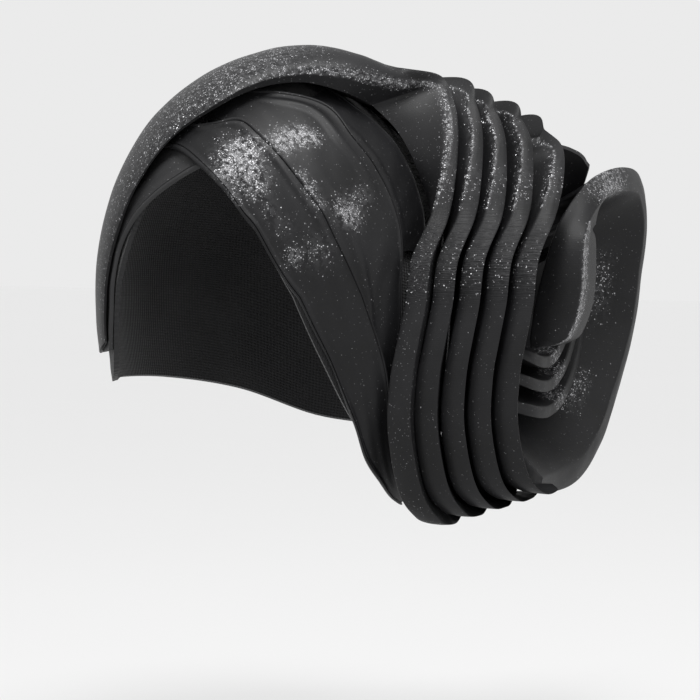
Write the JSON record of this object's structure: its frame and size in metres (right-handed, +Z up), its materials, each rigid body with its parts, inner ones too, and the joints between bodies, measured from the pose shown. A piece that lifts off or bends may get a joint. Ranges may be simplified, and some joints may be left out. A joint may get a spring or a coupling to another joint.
{
  "type": "tied gele head tie",
  "caption": "Ready-tied gele in near-black glitter cloth: crossed front wraps, a crown roll, nested side pleats and a cupped rosette.",
  "frame": {"origin": "inner crown of the cap, where the head bears on it, midway across", "axes": "+Z up, -Y the way the wearer faces, +X the wearer's left, where the pleats and the rosette are"},
  "size_m": [0.2148, 0.2783, 0.228],
  "materials": {
    "stretch_cloth": "matt knit",
    "glitter_cloth": "soft sheen with fine silver glitter",
    "under_cloth": "soft sheen, a little paler"
  },
  "bodies": {
    "root": {"base_cap": "stretch_cloth", "under_wrap": "under_cloth", "front_wrap_lower": "glitter_cloth", "front_wrap_middle": "glitter_cloth", "front_wrap_upper": "glitter_cloth", "crown_pleat": "glitter_cloth", "pleat_2": "glitter_cloth", "pleat_3": "glitter_cloth", "pleat_4": "glitter_cloth", "pleat_5": "glitter_cloth", "pleat_6": "glitter_cloth", "outer_petal": "glitter_cloth", "inner_petal_1": "glitter_cloth", "inner_petal_2": "glitter_cloth", "inner_petal_3": "glitter_cloth"}
  },
  "joints": []
}
